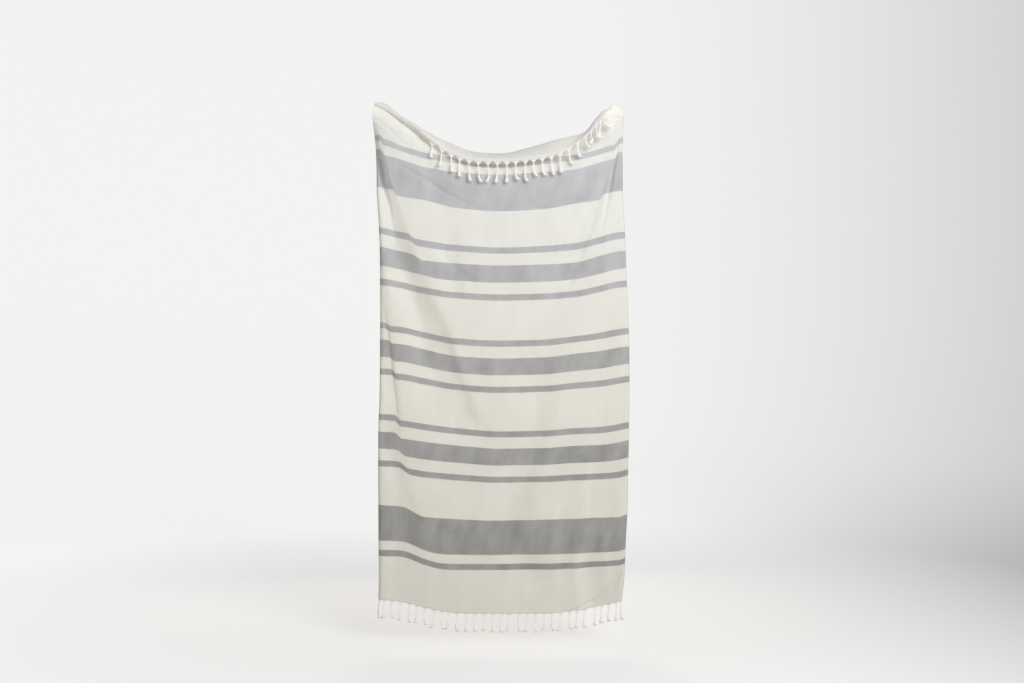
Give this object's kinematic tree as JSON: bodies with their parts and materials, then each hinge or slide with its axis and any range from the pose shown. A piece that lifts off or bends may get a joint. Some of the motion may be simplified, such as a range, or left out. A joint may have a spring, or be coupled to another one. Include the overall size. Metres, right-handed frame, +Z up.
{
  "type": "hammam towel",
  "caption": "Flat-woven cotton towel with cross stripes and knotted tassel fringes, hanging full length by its two upper corners with the top end folded forward.",
  "frame": {"origin": "middle of the ridge of the upper fold, where the hanging towel's top edge is lowest", "axes": "+Z up, the striped front faces -Y, +X to the right as seen from the front"},
  "size_m": [0.928, 0.1009, 1.9179],
  "materials": {
    "cotton_cloth": "matt flat weave, cream with grey cross stripes",
    "cotton_yarn": "matt twisted cream cotton yarn"
  },
  "bodies": {
    "root": {"towel_cloth": "cotton_cloth", "fringe_bottom": "cotton_yarn", "fringe_top": "cotton_yarn"}
  },
  "joints": []
}
